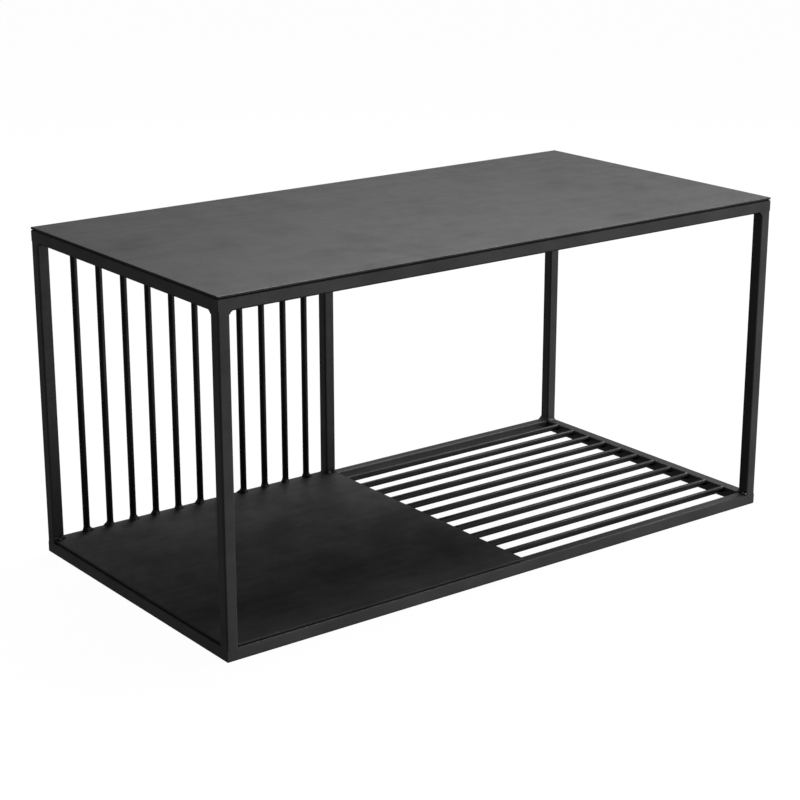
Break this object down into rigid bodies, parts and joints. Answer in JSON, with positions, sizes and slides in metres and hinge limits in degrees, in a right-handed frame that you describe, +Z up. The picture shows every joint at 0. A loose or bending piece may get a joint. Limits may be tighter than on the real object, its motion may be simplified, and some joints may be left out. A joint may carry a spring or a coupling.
{
  "type": "firewood log rack",
  "caption": "Low open rack of welded square steel tube with a sheet top, a sheet shelf with upright rods behind it on the left, and a rod grate floor on the right.",
  "frame": {"origin": "centre of the footprint, on the floor the bottom frame stands on", "axes": "+X along the length, towards the end with the rod grate; +Y from the open front to the back with the upright rods; +Z up"},
  "size_m": [0.6, 0.3, 0.3],
  "materials": {
    "black_tube": "satin black lacquer on mild steel tube",
    "black_sheet": "satin black lacquer on mild steel sheet, slightly mottled",
    "black_rod": "satin black lacquer on round steel bar"
  },
  "bodies": {
    "root": {"front_bottom_rail": "black_tube", "back_bottom_rail": "black_tube", "left_bottom_rail": "black_tube", "right_bottom_rail": "black_tube", "bottom_cross_rail": "black_tube", "front_top_rail": "black_tube", "back_top_rail": "black_tube", "left_top_rail": "black_tube", "right_top_rail": "black_tube", "front_left_post": "black_tube", "front_right_post": "black_tube", "back_left_post": "black_tube", "back_right_post": "black_tube", "back_middle_post": "black_tube", "top_plate": "black_sheet", "shelf_plate": "black_sheet", "back_rod_01": "black_rod", "back_rod_02": "black_rod", "back_rod_03": "black_rod", "back_rod_04": "black_rod", "back_rod_05": "black_rod", "back_rod_06": "black_rod", "back_rod_07": "black_rod", "back_rod_08": "black_rod", "back_rod_09": "black_rod", "back_rod_10": "black_rod", "back_rod_11": "black_rod", "floor_rod_01": "black_rod", "floor_rod_02": "black_rod", "floor_rod_03": "black_rod", "floor_rod_04": "black_rod", "floor_rod_05": "black_rod", "floor_rod_06": "black_rod", "floor_rod_07": "black_rod", "floor_rod_08": "black_rod", "floor_rod_09": "black_rod", "floor_rod_10": "black_rod", "floor_rod_11": "black_rod"}
  },
  "joints": []
}
